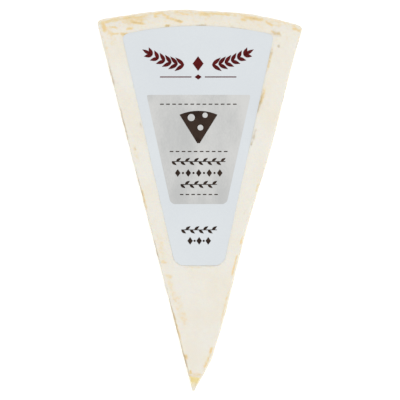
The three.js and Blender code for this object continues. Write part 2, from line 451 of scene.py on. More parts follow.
class LabelSizes(bpy.types.PropertyGroup):
    """Sizes of the paper label."""

    back: place("Back end", "Y of the end towards the rim", LABEL_BOX[1][1])
    front: place("Front end", "Y of the end towards the point", LABEL_BOX[0][1])
    front_half_width: length("Front half width", "Half the width at the front end", 10.1 * MM)
    taper: angle("Taper", "Angle of each side edge from the label's length", 12.67)
    thickness: length("Thickness", "Thickness of the paper", 0.12 * MM)
    gap: length("Gap", "Gap between paper and rind", 0.04 * MM)


class LabelColours(bpy.types.PropertyGroup):
    """Colours of the label's paper and inks."""

    paper: colour("Paper", "Pale blue-grey paper", srgb(217, 222, 225))
    paper_shade: colour("Paper shade", "Slightly deeper tone of the paper", srgb(213, 218, 222))
    panel: colour("Panel", "Grey panel", srgb(210, 210, 208))
    panel_shade: colour("Panel shade", "Clouds in the grey panel", srgb(190, 191, 190))
    red_ink: colour("Red ink", "Deep red of the ornament", srgb(76, 9, 11))
    red_ink_thin: colour("Thin red ink", "Red where the ink is thinner", srgb(92, 18, 19))
    brown_ink: colour("Brown ink", "Dark brown of the small figures", srgb(40, 28, 22))
    brown_ink_thin: colour("Thin brown ink", "Brown where the ink is thinner", srgb(58, 44, 36))


class StageSettings(bpy.types.PropertyGroup):
    """The studio: floor, lights and camera."""

    floor: colour("Floor", "Colour of the floor", srgb(250, 250, 250))
    glow: slider("Floor glow", "Light that the floor gives off", 0.3, min=0)
    sky: slider("Sky", "Strength of the even light all round", 0.6, min=0)
    key_power: power("Key light", "Power of the large light above", 5.5)
    fill_power: power("Fill lights", "Power of each side light", 1.1)
    view_width: length("View width", "Width that the picture takes in", 168 * MM)
    camera_distance: length("Camera distance", "From the camera to the depth that fills the view width", 3)


# Shapes that the pieces share


def lerp(first, last, share):
    """The value at a share of the way from first to last."""
    return first + (last - first) * share


def smooth_step(value, low, high):
    """0 below low, 1 above high, and an S-shaped curve between."""
    share = np.clip((value - low) / (high - low), 0, 1)
    return share * share * (3 - 2 * share)


def crowded(share):
    """A share from 0 to 1, moved towards the nearer end by a sine, so that steps are closer there."""
    return share - CROWDING * np.sin(TURN * share) / TURN


def rounded_corner(first, second):
    """Rounds a square corner. The distances run outwards from the centre of the corner's arc, and both
    shrink by the ratio of the larger one to their diagonal, so that the square's outline becomes the arc."""
    pull = np.maximum(first, second) / np.maximum(np.hypot(first, second), TINY)
    pull = np.where((first > 0) & (second > 0), pull, 1)
    return first * pull, second * pull


def ripple(points, wavelength, seed):
    """Smooth random relief of about -1 to 1: the sum of plane waves of nearly one wavelength, whose
    directions, lengths and phases are drawn from a seed."""
    draw = np.random.default_rng(seed)
    ways = draw.normal(size=(RIPPLE_WAVES, points.shape[1]))
    ways /= np.linalg.norm(ways, axis=1, keepdims=True)
    lengths = wavelength * draw.uniform(*RIPPLE_LENGTHS, RIPPLE_WAVES)
    phases = draw.uniform(0, TURN, RIPPLE_WAVES)
    turns = points @ (TURN * ways / lengths[:, None]).T + phases
    return np.sin(turns).sum(axis=1) / math.sqrt(RIPPLE_WAVES)


def ripples(points, sizes, seed):
    """The sum of smooth random reliefs of several wavelengths and shares, each drawn from the next seed."""
    return sum(share * ripple(points, size, seed + step) for step, (size, share) in enumerate(sizes))


def spots(x, y, figures):
    """The strongest of several soft elliptical spots at each place. A spot falls off as a bell across its
    width, and along its length as a bell with a flatter top."""
    strongest = np.zeros_like(x)
    for middle_x, middle_y, spot_length, spot_width, degrees, most in figures:
        turn = math.radians(degrees)
        from_x = x - middle_x * MM
        from_y = y - middle_y * MM
        lengthwise = (from_x * math.cos(turn) + from_y * math.sin(turn)) / (spot_length * MM / 2)
        widthwise = (from_y * math.cos(turn) - from_x * math.sin(turn)) / (spot_width * MM / 2)
        strongest = np.maximum(strongest, most * np.exp(-SPOT_FALL * (lengthwise**4 + widthwise**2)))
    return strongest


def box_surface(steps):
    """The surface of a box as a grid: three shares from 0 to 1 for each point, and four point numbers for
    each face, wound to face outwards. Points on the box's edges are shared, so the surface is closed."""
    counts = np.add(steps, 1)
    sides = []
    for axis in range(3):
        first = (axis + 1) % 3
        second = (axis + 2) % 3
        grid = np.meshgrid(np.arange(counts[first]), np.arange(counts[second]), indexing="ij")
        for end in (0, steps[axis]):
            place_on_grid = [None, None, None]
            place_on_grid[axis] = np.full_like(grid[0], end)
            place_on_grid[first] = grid[0]
            place_on_grid[second] = grid[1]
            numbers = np.ravel_multi_index(place_on_grid, counts)
            corners = (numbers[:-1, :-1], numbers[1:, :-1], numbers[1:, 1:], numbers[:-1, 1:])
            quads = np.stack(corners, axis=-1).reshape(-1, 4)
            sides.append(quads if end else quads[:, ::-1])
    used, quads = np.unique(np.concatenate(sides), return_inverse=True)
    shares = np.stack(np.unravel_index(used, counts), axis=-1) / np.array(steps)
    return shares, quads.reshape(-1, 4)


def new_mesh(name, points, quads):
    """A smooth-shaded mesh of those points and four-sided faces, with its sharp edges left sharp."""
    mesh = bpy.data.meshes.new(name)
    mesh.vertices.add(len(points))
    mesh.vertices.foreach_set("co", np.asarray(points, np.float32).ravel())
    mesh.loops.add(quads.size)
    mesh.loops.foreach_set("vertex_index", quads.astype(np.int32).ravel())
    mesh.polygons.add(len(quads))
    mesh.polygons.foreach_set("loop_start", np.arange(0, quads.size, 4, dtype=np.int32))
    mesh.polygons.foreach_set("use_smooth", np.ones(len(quads), bool))
    mesh.update(calc_edges=True)
    if mesh.validate():
        raise RuntimeError(f"the mesh of {name} has faulty faces")
    mesh.set_sharp_from_angle(angle=SHARP_ANGLE)
    return mesh


def new_piece(mesh, material, node=None):
    """Puts a mesh into the scene as a piece of the object, in place of a solid where one is named."""
    piece = bpy.data.objects.new(mesh.name, mesh)
    bpy.context.scene.collection.objects.link(piece)
    mesh.materials.append(material)
    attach(piece, "root")
    if node:
        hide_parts(node)


# The wedge


def point_radius(sizes):
    """Distance of the wedge's point from the wheel's centre."""
    return sizes.wheel_radius - sizes.wedge_length


def wheel_centre(sizes):
    """Place of the wheel's centre, which puts the middle of the wedge's length at the origin."""
    return np.array((WHEEL_CENTRE_X, sizes.wedge_length / 2 - sizes.wheel_radius))


def cut_angle(sizes, radius, cut):
    """Angle, clockwise from +Y about the wheel's centre, at which a cut crosses a circle of that radius: the
    far crossing of a line and a circle."""
    way = np.array((math.sin(cut), math.cos(cut)))
    offset = CUTS_CROSS - wheel_centre(sizes)
    along = offset @ way
    run = np.sqrt(along**2 - offset @ offset + radius**2) - along
    return np.arctan2(offset[0] + run * way[0], offset[1] + run * way[1])


def row_at(sizes, radius):
    """Middle angle and half width of the wedge on a circle about the wheel's centre. The right cut wanders
    as a wave, and near the point it turns in by a straight slope."""
    left = cut_angle(sizes, radius, -sizes.left_cut)
    wander = RIGHT_WANDER * np.cos(TURN * (radius - WANDER_CREST) / WANDER_LENGTH)
    turn_in = TURN_IN_SLOPE * np.maximum(0, TURN_IN_START - (radius - point_radius(sizes)))
    right = cut_angle(sizes, radius, sizes.right_cut) + (wander - turn_in) / radius
    return (left + right) / 2, radius * (right - left) / 2


def top_height(sizes, x, y):
    """Height of the top rind: the wheel's height and the product of two waves, less an S-shaped sag and, at
    the point, the rind's thickness and a slope that steepens by a power."""
    centre = wheel_centre(sizes)
    from_point = np.maximum(0, np.hypot(x - centre[0], y - centre[1]) - point_radius(sizes))
    across_turn = TURN * x / SWELL_LENGTHS[0] + SWELL_PHASES[0]
    along_turn = TURN * y / SWELL_LENGTHS[1] + SWELL_PHASES[1]
    swell = SWELL_HEIGHT * np.sin(across_turn) * np.cos(along_turn)
    sag = POINT_SAG * (1 - smooth_step(from_point, 0, SAG_REACH))
    slope = NOSE_DROP * np.clip(1 - from_point / NOSE_LENGTH, 0, 1) ** NOSE_CURVE
    broken = 1 - smooth_step(from_point, NOSE_LENGTH, NOSE_LENGTH + BREAK_WIDTH)
    return sizes.wheel_height + swell - sag - slope - sizes.rind_thickness * broken


def bottom_height(x, y):
    """Height of the bottom rind: level, and falling evenly to nothing at each spot that it rests on."""
    distances = [np.hypot(x - spot_x, y - spot_y) for spot_x, spot_y in REST_SPOTS]
    return REST_SPOT_DEPTH * np.minimum(1, np.min(distances, axis=0) / REST_SPOT_REACH)


def rim_setback(sizes, around, share):
    """How far the rim stands back from the full radius: a parabola up its height and a slanting wave
    along it."""
    barrel = RIM_BARREL * (2 * share - 1) ** 2
    wave_turn = TURN * sizes.wheel_radius * around / RIM_WAVE_LENGTH + RIM_WAVE_SLANT * share
    return barrel - RIM_WAVE * np.cos(wave_turn)


def rind_depth(rimwards, upwards, shoulder_radius):
    """Distance inwards from the rind, which is the outline of a rounded rectangle. The two distances run
    outwards from the centre of its corner's arc."""
    beyond = np.hypot(np.maximum(rimwards, 0), np.maximum(upwards, 0))
    within = np.minimum(np.maximum(rimwards, upwards), 0)
    return np.maximum(0, shoulder_radius - beyond - within)


def dragged_rind(from_point, share, which_cut):
    """How much further the rind shows down the top of a cut, in rind thicknesses: an uneven fringe, as long
    as a seeded random wave along the cut says."""
    mean, swing = DRAGGED_RIND
    along_cut = np.stack((from_point, DRAGGED_APART * which_cut), axis=1)
    fringe = mean + swing * ripple(along_cut, DRAGGED_LENGTH, seed=13)
    return np.maximum(0, fringe) * np.abs(which_cut) * smooth_step(share, *DRAGGED_SHARES)


def wedge_surface(sizes):
    """The wedge before its fine relief. A row of the box becomes an arc about the wheel's centre from cut to
    cut, its corners are rounded, the paste bulges as a parabola between the rinds, and the height runs from
    the bottom rind to the top one. Returns the points, the faces, and where each point lies on the wedge."""
    shares, quads = box_surface(WEDGE_STEPS)
    across, along, up = crowded(shares).T
    across = 2 * across - 1
    radius = lerp(point_radius(sizes), sizes.wheel_radius, along)
    half_width = row_at(sizes, radius)[1]
    side = np.abs(across) * half_width
    height = up * sizes.wheel_height

    corner_side = half_width - UPRIGHT_CORNER_RADIUS
    corner_radius = sizes.wheel_radius - UPRIGHT_CORNER_RADIUS
    outwards, rimwards = rounded_corner(side - corner_side, radius - corner_radius)
    side = corner_side + outwards
    radius = corner_radius + rimwards

    middle = sizes.wheel_height / 2
    shoulder = sizes.wheel_radius - sizes.shoulder_radius
    flat = middle - sizes.shoulder_radius
    rimwards, upwards = rounded_corner(radius - shoulder, np.abs(height - middle) - flat)
    radius = shoulder + rimwards
    height = middle + np.sign(height - middle) * (flat + upwards)
    depth = rind_depth(rimwards, upwards, sizes.shoulder_radius)

    edge = np.minimum(CUT_EDGE_RADIUS, half_width / 2)
    outwards, upwards = rounded_corner(side - half_width + edge, np.abs(height - middle) - middle + edge)
    side = half_width - edge + outwards
    height = middle + np.sign(height - middle) * (middle - edge + upwards)

    share = height / sizes.wheel_height
    from_point = radius - point_radius(sizes)
    point_bulge = np.where(across < 0, sizes.left_bulge, sizes.right_bulge)
    bulge = lerp(point_bulge, sizes.rim_bulge, from_point / sizes.wedge_length)
    bulge = np.minimum(bulge, BULGE_LIMIT * half_width)
    drawn_in = 1 - bulge * (2 * share - 1) ** 2 / half_width
    from_edge = (half_width - side) * drawn_in
    side = side * drawn_in

    around = row_at(sizes, radius)[0] + np.sign(across) * side / radius
    near_rim = smooth_step(radius, sizes.wheel_radius - RIM_REACH, sizes.wheel_radius)
    setback = radius - rim_setback(sizes, around, share) * near_rim
    centre = wheel_centre(sizes)
    x = centre[0] + setback * np.sin(around)
    y = centre[1] + setback * np.cos(around)
    z = lerp(bottom_height(x, y), top_height(sizes, x, y), share)
    which_cut = np.where(np.abs(across) > 1 - TINY, np.sign(across), 0)
    return SimpleNamespace(
        points=np.stack((x, y, z), axis=1),
        quads=quads,
        share=share,
        around=around,
        from_rim=sizes.wheel_radius - radius,
        from_point=from_point,
        from_edge=from_edge,
        depth=depth / sizes.rind_thickness - dragged_rind(from_point, share, which_cut),
        which_cut=which_cut,
        underside=shares[:, 2] == 0,
    )


def eye_dents(sizes, wedge):
    """Depth of the eyes in the paste: bowls with the profile (1 - d squared) squared, stretched along the
    wedge, at places and of sizes drawn from a seed for each cut."""
    dents = np.zeros(len(wedge.points))
    for cut in (-1, 1):
        draw = np.random.default_rng(EYE_SEED + cut)
        on_cut = wedge.which_cut == cut
        out = wedge.from_point[on_cut]
        height = wedge.share[on_cut] * sizes.wheel_height
        deepest = np.zeros(on_cut.sum())
        for _ in range(EYES_PER_CUT):
            eye_out = draw.uniform(*EYE_PLACES) * sizes.wedge_length
            eye_height = draw.uniform(*EYE_HEIGHTS) * sizes.wheel_height
            eye_radius = lerp(*EYE_RADII, draw.uniform() ** EYE_RARITY)
            distance = np.hypot((out - eye_out) / EYE_STRETCH, height - eye_height) / eye_radius
            bowl = EYE_DEPTH * eye_radius * np.clip(1 - distance**2, 0, 1) ** 2
            deepest = np.maximum(deepest, bowl)
        dents[on_cut] = deepest
    return dents


def plain_tan(sizes, wedge, on_top):
    """How tan the rind is apart from its streaks: seeded random patches on the rim, stretched along it, and
    S-shaped rises towards the rim, the cuts and the broken point."""
    along_rim = sizes.wheel_radius * wedge.around / RIM_PATCH_STRETCH
    on_rim = np.stack((along_rim, sizes.wheel_height * wedge.share), axis=1)
    patches = ripples(on_rim, RIM_PATCHES, seed=3)
    side, top, edge = (level + swing * patches for level, swing in (RIM_SIDE_TAN, RIM_TOP_TAN, RIM_EDGE_TAN))
    top = lerp(top, edge, smooth_step(wedge.from_rim, *RIM_EDGE_REACH))
    rim = lerp(side, top, on_top) * smooth_step(wedge.from_rim, *RIM_TAN_REACH)
    near_rim = NEAR_RIM_TAN * smooth_step(wedge.from_rim, *NEAR_RIM_REACH)
    near_cut = NEAR_CUT_TAN * (1 - smooth_step(wedge.from_edge, *NEAR_CUT_REACH))
    near_break = NEAR_BREAK_TAN * smooth_step(wedge.from_point, *NEAR_BREAK_REACH)
    return np.maximum(rim, np.max((near_rim, near_cut, near_break), axis=0) * on_top)


def rind_shares(sizes, label, wedge):
    """What the rind shows at each point, as shares: how tan it is, where a few streaks by the label's edges
    are painted shadow, how much painted shade and dried grey-brown it has, how chipped, how far it has broken
    off, how ripe the paste is there, and how far the label covers it."""
    x, y, _ = wedge.points.T
    on_top = smooth_step(wedge.share, *TOP_SHARES)
    on_edge = smooth_step(wedge.share, *EDGE_SHARES)
    chips = spots(x, y, RIND_CHIPS) * on_edge
    # The side streaks along the label's edges paint its shadow in tan as well as thin bloom
    streaks = spots(x, y, RIM_STREAKS + SIDE_STREAKS_AND_PAINTED_SHADOWS) * np.where(wedge.which_cut == 0, on_top, on_edge)
    broken = 1 - smooth_step(wedge.from_point, *BREAK_EDGE)
    broken = broken * smooth_step(wedge.from_point, *BLOOMED_TIP) * smooth_step(wedge.share, *BREAK_SHARES)
    return SimpleNamespace(
        tan=np.max((plain_tan(sizes, wedge, on_top), streaks, chips), axis=0),
        # Painted shade along the left cut's edge and painted shadow by the label's edges, with dried marks
        dried=spots(x, y, PAINTED_SHADE_AND_DRIED_STREAKS) * on_edge,
        chips=chips,
        bare=broken,
        ripe=broken * smooth_step(wedge.from_point, *RIPE_BREAK) * smooth_step(wedge.share, *RIPE_SHARES),
        covered=label_cover(label, x, y) * on_top,
    )


def wedge_relief(sizes, wedge, rind, dents):
    """Fine relief along each point's normal. The bloom is two sizes of random lumps, the paste stands a
    little below the cut rind and has drag lines and dented eyes, and the rind is lower where it is rubbed,
    chipped or gone."""
    paste = np.maximum(smooth_step(wedge.depth, *PASTE_DEPTHS), rind.bare)
    gone = np.maximum(rind.bare, rind.chips)
    lumps = ripples(wedge.points, BLOOM_LUMPS, seed=7)
    bloom = sizes.bloom_relief * np.where(wedge.underside, -np.abs(lumps), lumps)
    slanted = wedge.points[:, 2] - DRAG_SLANT * wedge.from_point
    wander = DRAG_WANDER * ripple(wedge.points, DRAG_WANDER_LENGTH, seed=9)
    smeared = DRAG_HEIGHT * np.sin(TURN * slanted / DRAG_LENGTH + wander)
    smeared = smeared + PASTE_LUMP_HEIGHT * ripple(wedge.points, PASTE_LUMP_SIZE, seed=10)
    crumbled = CRUMB_HEIGHT * ripple(wedge.points, CRUMB_SIZE, seed=11) * gone
    lowered = CUT_STEP * paste * (wedge.which_cut != 0) + BREAK_STEP * gone + RUB_DEPTH * rind.tan
    return lerp(bloom, smeared, paste) * (1 - rind.covered) + crumbled - lowered - dents * paste


def wedge_mesh(sizes, label):
    """The wedge's mesh: the plain surface, moved along its normals by the fine relief. For each point it also
    holds the shares that the material reads."""
    wedge = wedge_surface(sizes)
    rind = rind_shares(sizes, label, wedge)
    dents = eye_dents(sizes, wedge)
    mesh = new_mesh("cheese_wedge", wedge.points, wedge.quads)
    normals = np.empty(wedge.points.size, np.float32)
    mesh.vertex_normals.foreach_get("vector", normals)
    relief = wedge_relief(sizes, wedge, rind, dents)
    points = wedge.points + normals.reshape(-1, 3) * relief[:, None]
    mesh.vertices.foreach_set("co", points.astype(np.float32).ravel())
    read_by_material = {
        "depth": wedge.depth,
        "tan": rind.tan,
        # Painted shade and shadow, and dried marks, in grey-brown
        "dried": rind.dried,
        "bare": rind.bare,
        "ripe": np.maximum(rind.ripe, np.clip(dents / EYE_RADII[1], 0, RIPEST_EYE)),
    }
    for name, values in read_by_material.items():
        mesh.attributes.new(name, "FLOAT", "POINT").data.foreach_set("value", values.astype(np.float32))
    mesh.update()
    return mesh


# The label and its print


def label_middle(y):
    """X of the label's middle line, which leans a little to the left."""
    return LABEL_X - math.tan(LABEL_LEAN) * y


def label_half_width(label, y):
    """Half the label's width, which grows evenly from the front end to the back."""
    return label.front_half_width + math.tan(label.taper) * (y - label.front)


def label_cover(label, x, y):
    """1 under the label and 0 away from it, with a soft edge."""
    from_side = label_half_width(label, y) - np.abs(x - label_middle(y))
    inside = np.min((from_side, y - label.front, label.back - y), axis=0)
    return smooth_step(inside, *LABEL_FADE)


def tapered_strip(across, along, ends, half_widths, corners):
    """A strip that widens evenly from its front end to its back one and has rounded corners. The shares run
    from -1 to 1 across it and from 0 to 1 along it. Returns distances from its middle line and places along
    that line."""
    front, back = ends
    width = lerp(*half_widths, along)
    at_back = along > 0.5
    corner = np.where(at_back, corners[1], corners[0])
    from_end = (back - front) * np.where(at_back, 1 - along, along)
    outwards, endwards = rounded_corner(np.abs(across) * width - width + corner, corner - from_end)
    return width - corner + outwards, np.where(at_back, back - corner + endwards, front + corner - endwards)


def arc_fall(radius, side):
    """How far a circle has fallen away at a distance from its crown."""
    return radius - np.sqrt(radius**2 - side**2)


def label_surface(sizes, label):
    """The label as a thin closed sheet: a tapered strip whose corners are rounded and whose two ends are
    arcs, and which runs up from its underside by the paper's thickness."""
    shares, quads = box_surface(LABEL_STEPS)
    across = 2 * crowded(shares[:, 0]) - 1
    along = crowded(shares[:, 1])
    ends = (label.front, label.back)
    half_widths = [label_half_width(label, end) for end in ends]
    side, y = tapered_strip(across, along, ends, half_widths, LABEL_CORNERS)
    curved = lerp(arc_fall(LABEL_CURVES[0], side), -arc_fall(LABEL_CURVES[1], side), along)
    side = side * label_half_width(label, y + curved) / label_half_width(label, y)
    y = y + curved
    x = label_middle(y) + np.sign(across) * side
    z = label_top(sizes, label, x, y) - label.thickness * (1 - shares[:, 2])
    return np.stack((x, y, z), axis=1), quads


def label_top(sizes, label, x, y):
    """Height of the label's printed face. It follows the rind with a low random wave, its front end curls up
    as an exponential, and its right edge has come loose in bell-shaped places."""
    from_right = np.maximum(0, label_half_width(label, y) - (x - label_middle(y)))
    loose = [
        height * np.exp(-(((y - middle) / reach) ** 2) - from_right / LOOSE_REACH)
        for middle, reach, height in LOOSE_EDGES
    ]
    curl = FRONT_CURL * np.exp(-np.maximum(0, y - label.front) / FRONT_CURL_REACH)
    wave = PAPER_WAVE * ripple(np.stack((x, y), axis=1), PAPER_WAVE_LENGTH, seed=12)
    lifted = np.sum(loose, axis=0) + curl + wave
    return top_height(sizes, x, y) + label.gap + label.thickness + lifted


def disc(u, v):
    """A square grid drawn in to a disc of radius 1."""
    outwards, upwards = rounded_corner(np.abs(u), np.abs(v))
    return np.sign(u) * outwards, np.sign(v) * upwards


def leaf(u, v):
    """A leaf of half length 1 and half width 1: half a sine wave, fuller towards the stem, whose ends are a
    little blunt."""
    blunt = 0.05
    fullness = 0.8
    return u, v * np.maximum(blunt, np.sin(math.pi * ((u + 1) / 2) ** fullness))


def lozenge(u, v):
    """A square set on its corner, of half diagonals 1."""
    return (u + v) / 2, (v - u) / 2


def bar(u, v):
    """A plain bar of half length 1 and half width 1."""
    return u, v


def sector(u, v):
    """A slice of a round, about 2 high: rows of arcs about the round's centre, from a blunt point just above
    that centre to the round's edge."""
    half_angle = 0.48
    radii = (0.12, 2.0)
    centre_y = -1.05
    radius = lerp(*radii, (v + 1) / 2)
    return radius * np.sin(half_angle * u), radius * np.cos(half_angle * u) + centre_y


def panel_shape(u, v):
    """The tapered panel, as shares of half its back width and of half its length. It narrows evenly to the
    front, and its corners are rounded."""
    across = 2 * crowded((u + 1) / 2) - 1
    along = crowded((v + 1) / 2)
    half_length = (PANEL_ENDS[1] - PANEL_ENDS[0]) / 2
    ends = (-half_length, half_length)
    side, y = tapered_strip(across, along, ends, PANEL_HALF_WIDTHS, PANEL_CORNERS)
    return np.sign(across) * side / PANEL_HALF_WIDTHS[1], y / half_length


def figure(shape, x, y, half_length, half_width, degrees=0):
    """One printed figure: a shape from the unit square, its middle from the label's middle line and its two
    half sizes in millimetres, and a turn."""
    return SimpleNamespace(
        shape=shape, x=x * MM, y=y * MM, sizes=(half_length * MM, half_width * MM), turn=math.radians(degrees)
    )


def printed_figures(sizes, label, figures, layer, steps):
    """Printed figures as thin closed plates that follow the label's face. Each is a box of grid points whose
    flat outline its shape gives, scaled, turned and set in place."""
    shares, quads = box_surface(steps)
    u = 2 * shares[:, 0] - 1
    v = 2 * shares[:, 1] - 1
    points = []
    faces = []
    for number, one in enumerate(figures):
        flat_x, flat_y = one.shape(u, v)
        flat_x = flat_x * one.sizes[0]
        flat_y = flat_y * one.sizes[1]
        x = label_middle(one.y) + one.x + flat_x * math.cos(one.turn) - flat_y * math.sin(one.turn)
        y = one.y + flat_x * math.sin(one.turn) + flat_y * math.cos(one.turn)
        z = label_top(sizes, label, x, y) + lerp(-INK_SINK, layer * INK_STEP, shares[:, 2])
        points.append(np.stack((x, y, z), axis=1))
        faces.append(quads + number * len(shares))
    return np.concatenate(points), np.concatenate(faces)


def panel_figure():
    """The grey panel."""
    front, back = PANEL_ENDS
    return figure(panel_shape, 0, (front + back) / 2, PANEL_HALF_WIDTHS[1], (back - front) / 2)


def sprig_leaves():
    """The right sprig's leaves: x, y, two half sizes and turn. The stem is half a parabola, the leaves spread
    in pairs from points along it, and one more leaf ends it."""
    leaves = []
    for pair in range(SPRIG_PAIRS):
        share = (pair + SPRIG_FIRST_PAIR) / SPRIG_PAIRS
        stem_x = SPRIG_START + SPRIG_LENGTH * share
        stem_y = SPRIG_Y + SPRIG_RISE * share**2
        lean = math.degrees(math.atan(2 * SPRIG_RISE * share / SPRIG_LENGTH))
        half_length = lerp(*LEAF_HALF_LENGTHS, share)
        for turn in (lean - LEAF_SPREAD, lean + LEAF_SPREAD):
            x = stem_x + LEAF_OFFSET * half_length * math.cos(math.radians(turn))
            y = stem_y + LEAF_OFFSET * half_length * math.sin(math.radians(turn))
            leaves.append((x, y, half_length, LEAF_HALF_WIDTH, turn))
    end_x = SPRIG_START + END_LEAF_SHARES[0] * SPRIG_LENGTH
    end_y = SPRIG_Y + END_LEAF_SHARES[1] * SPRIG_RISE
    return [*leaves, (end_x, end_y, *END_LEAF)]


def ornament_figures():
    """Two mirrored sprigs either side of a lozenge, and a fine rule below, broken by a small lozenge."""
    figures = [figure(lozenge, 0, SPRIG_GEM_Y, *SPRIG_GEM)]
    for x, y, half_length, half_width, turn in sprig_leaves():
        figures.append(figure(leaf, -x, y, half_length, half_width, 180 - turn))
        figures.append(figure(leaf, x, y, half_length, half_width, turn))
    figures.append(figure(lozenge, 0, RULE_Y, *RULE_GEM))
    for x in (-RULE_MIDDLE, RULE_MIDDLE):
        figures.append(figure(bar, x, RULE_Y, RULE_HALF_LENGTH, RULE_HALF_WIDTH))
    return figures


def middles(half_length, count):
    """The middles of that many equal steps along a row about 0."""
    return half_length * np.linspace(-1, 1, 2 * count + 1)[1::2]


def dashes(y, half_length, count):
    """A row of even dashes."""
    half_dash = DASH_SHARE * half_length / count
    return [figure(bar, x, y, half_dash, RULE_HALF_WIDTH) for x in middles(half_length, count)]


def garland(y, half_length, count):
    """A row of small leaves that lean to either side of a fine rule in turn."""
    figures = [figure(bar, 0, y, half_length, GARLAND_RULE_HALF_WIDTH)]
    for number, x in enumerate(middles(half_length, count)):
        way = 1 if number % 2 else -1
        figures.append(figure(leaf, x, y + GARLAND_OFFSET * way, *GARLAND_LEAF, GARLAND_LEAN * way))
    return figures


def beads(y, half_length, count):
    """A row of lozenges with a dot between each two."""
    places = np.linspace(-half_length, half_length, 2 * count - 1)
    gems = [figure(lozenge, x, y, *BEAD_GEM) for x in places[::2]]
    return gems + [figure(disc, x, y, *BEAD_DOT) for x in places[1::2]]


def brown_figures():
    """The small print: a slice, and rows of dashes, garlands and beads on the panel and below it."""
    figures = [figure(sector, 0, SLICE_Y, *SLICE_HALF_SIZES)]
    for row_maker, rows in ((dashes, DASH_ROWS), (garland, GARLAND_ROWS), (beads, BEAD_ROWS)):
        for row in rows:
            figures += row_maker(*row)
    return figures


def eye_figures():
    """Round eyes on the printed slice."""
    return [figure(disc, x, y, radius, radius) for x, y, radius in SLICE_EYES]


# Materials


def set_inputs(tree, node, inputs):
    """Links or sets a node's inputs, by name or number. A colour is set with full alpha."""
    for name, value in inputs.items():
        socket = node.inputs[name]
        if isinstance(value, bpy.types.NodeSocket):
            tree.links.new(value, socket)
        else:
            socket.default_value = (*value, 1) if socket.type == "RGBA" else value


def add_node(tree, kind, inputs, **settings):
    """Adds a node, sets it up, and links or sets its inputs."""
    node = tree.nodes.new(kind)
    for name, value in settings.items():
        setattr(node, name, value)
    set_inputs(tree, node, inputs)
    return node


def math_node(tree, operation, first, second):
    """The result of one step of arithmetic."""
    return add_node(tree, "ShaderNodeMath", {0: first, 1: second}, operation=operation).outputs[0]


def mix_colours(tree, factor, first, second):
    """A blend of two colours."""
    return add_node(tree, "ShaderNodeMix", {0: factor, 6: first, 7: second}, data_type="RGBA").outputs[2]


def mix_values(tree, factor, first, second):
    """A blend of two values."""
    return add_node(tree, "ShaderNodeMix", {0: factor, 2: first, 3: second}, data_type="FLOAT").outputs[0]


def soft_range(tree, value, low, high):
    """0 below low, 1 above high, and a smooth curve between."""
    inputs = {"Value": value, "From Min": low, "From Max": high}
    return add_node(tree, "ShaderNodeMapRange", inputs, interpolation_type="SMOOTHSTEP").outputs[0]


def noise(tree, vector, scale):
    """Random values from 0 to 1, with that many cells to a metre."""
    inputs = {"Vector": vector, "Scale": scale, "Detail": NOISE_DETAIL}
    return add_node(tree, "ShaderNodeTexNoise", inputs).outputs["Fac"]


def grain(tree, vector, size):
    """Random values from 0 to 1 in cells of about that size."""
    return noise(tree, vector, 1 / size)


def new_group(name, inputs, outputs):
    """An empty shader node group with named sockets, and its inner ends."""
    group = bpy.data.node_groups.new(name, "ShaderNodeTree")
    for in_out, sockets in (("INPUT", inputs), ("OUTPUT", outputs)):
        for socket_name, kind in sockets.items():
            group.interface.new_socket(socket_name, in_out=in_out, socket_type=f"NodeSocket{kind}")
    start = group.nodes.new("NodeGroupInput")
    end = group.nodes.new("NodeGroupOutput")
    return group, start.outputs, end.inputs


def ragged_group():
    """A mask with a ragged edge: an amount, roughened by noise, against a level."""
    name = "Ragged mask"
    if name in bpy.data.node_groups:
        return bpy.data.node_groups[name]
    inputs = {"Place": "Vector"}
    inputs.update(dict.fromkeys(("Amount", "Level", "Softness", "Raggedness", "Grain"), "Float"))
    group, given, result = new_group(name, inputs, {"Mask": "Float"})
    swing = math_node(group, "SUBTRACT", noise(group, given["Place"], given["Grain"]), 0.5)
    rough = math_node(group, "MULTIPLY", swing, given["Raggedness"])
    roughened = math_node(group, "ADD", given["Amount"], rough)
    low = math_node(group, "SUBTRACT", given["Level"], given["Softness"])
    high = math_node(group, "ADD", given["Level"], given["Softness"])
    group.links.new(soft_range(group, roughened, low, high), result["Mask"])
    return group


def mottle_group():
    """Two colours, blended by random clouds that have a share of finer grains in them."""
    name = "Soft mottle"
    if name in bpy.data.node_groups:
        return bpy.data.node_groups[name]
    inputs = {"Place": "Vector", "First": "Color", "Second": "Color"}
    inputs.update(dict.fromkeys(("Cloud scale", "Grain scale", "Grain share"), "Float"))
    group, given, result = new_group(name, inputs, {"Color": "Color"})
    clouds = noise(group, given["Place"], given["Cloud scale"])
    grains = noise(group, given["Place"], given["Grain scale"])
    share = soft_range(group, mix_values(group, given["Grain share"], clouds, grains), *MOTTLE_EDGES)
    group.links.new(mix_colours(group, share, given["First"], given["Second"]), result["Color"])
    return group


def placed(tree, group, *inputs):
    """The result of a group in a material, with the group's inputs in their order."""
    return add_node(tree, "ShaderNodeGroup", dict(enumerate(inputs)), node_tree=group).outputs[0]


def mottled(tree, vector, first, second, cloud, fine, fine_share):
    """A soft mottle of two colours, in clouds and fine grains of those sizes."""
    return placed(tree, mottle_group(), vector, first, second, 1 / cloud, 1 / fine, fine_share)


def ragged(tree, vector, amount, level, softness, raggedness, fine):
    """A ragged-edged mask where the amount passes the level, with raggedness of that fine size."""
    return placed(tree, ragged_group(), vector, amount, level, softness, raggedness, 1 / fine)


